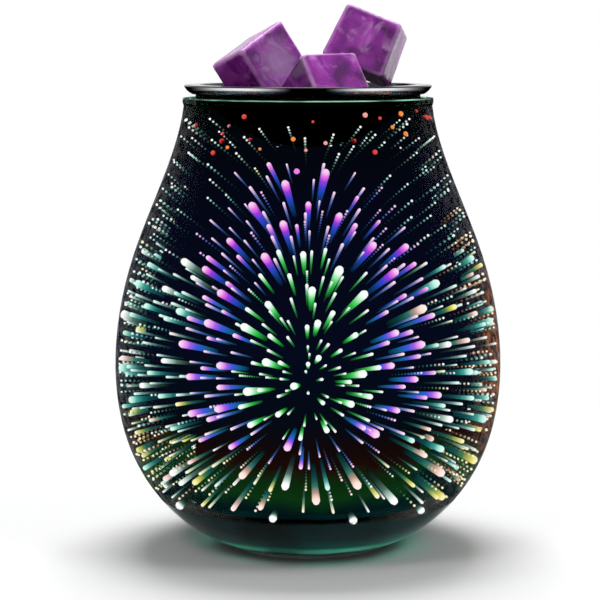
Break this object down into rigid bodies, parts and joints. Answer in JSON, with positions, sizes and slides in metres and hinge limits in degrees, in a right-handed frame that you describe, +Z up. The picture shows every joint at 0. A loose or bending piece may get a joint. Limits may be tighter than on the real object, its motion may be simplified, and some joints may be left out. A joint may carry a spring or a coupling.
{
  "type": "wax melt warmer",
  "caption": "Electric wax melt warmer: egg-shaped film-coated glass shade over a capsule lamp, black lift-off dish on its neck holding wax melts.",
  "frame": {"origin": "centre of the foot, on the table", "axes": "+Z up along the axis of the shade, -Y the front, +Y the side where the flex enters"},
  "size_m": [0.1272, 0.1272, 0.1783],
  "materials": {
    "film_glass": "clear glass, dark mirror film inside, gloss",
    "black_enamel": "gloss black coat on aluminium",
    "purple_wax": "cast wax, satin",
    "clear_silicone": "clear silicone",
    "black_abs": "moulded, fine texture",
    "black_rubber": "moulded",
    "zinc_steel": "zinc plated",
    "brass_plain": "turned",
    "bright_aluminium": "polished",
    "white_steatite": "fired ceramic, matt",
    "white_nylon": "moulded",
    "wire_brown": "silicone insulation",
    "wire_blue": "silicone insulation",
    "quartz_glass": "clear",
    "tungsten": "wire, lit"
  },
  "bodies": {
    "base": {"foot_ring": "clear_silicone", "glass_shade": "film_glass", "base_housing": "black_abs", "lower_gasket": "clear_silicone", "upper_gasket": "clear_silicone", "lamp_base": "black_abs", "housing_screws": "zinc_steel", "cord_gland": "black_rubber", "terminal_block": "white_nylon", "terminal_screws": "brass_plain", "lead_live": "wire_brown", "lead_neutral": "wire_blue", "thermal_fuse": "zinc_steel", "reflector_plate": "bright_aluminium", "stem_tube": "zinc_steel", "stem_nuts": "brass_plain", "holder_cup": "zinc_steel", "lamp_holder": "white_steatite", "holder_contacts": "brass_plain", "holder_screws": "zinc_steel"},
    "bulb": {"bulb_pins": "zinc_steel", "bulb_pinch": "quartz_glass", "bulb_capsule": "quartz_glass", "bulb_filament": "tungsten"},
    "dish": {"wax_dish": "black_enamel", "dish_gasket": "clear_silicone"},
    "wax_left": {"wax_cube_left": "purple_wax"},
    "wax_front": {"wax_cube_front": "purple_wax"},
    "wax_right": {"wax_cube_right": "purple_wax"}
  },
  "joints": [
    {"name": "dish_lift", "type": "slide", "parent": "base", "child": "dish", "axis": [0, 0, 1], "range_m": [0, 0.04]},
    {"name": "wax_left_lift", "type": "slide", "parent": "dish", "child": "wax_left", "axis": [0, 0, 1], "range_m": [0, 0.04]},
    {"name": "wax_front_lift", "type": "slide", "parent": "dish", "child": "wax_front", "axis": [0, -0.6, 0.8], "range_m": [0, 0.04]},
    {"name": "wax_right_lift", "type": "slide", "parent": "dish", "child": "wax_right", "axis": [0, 0, 1], "range_m": [0, 0.04]},
    {"name": "bulb_pull", "type": "slide", "parent": "base", "child": "bulb", "axis": [0, 0, 1], "range_m": [0, 0.012]}
  ]
}
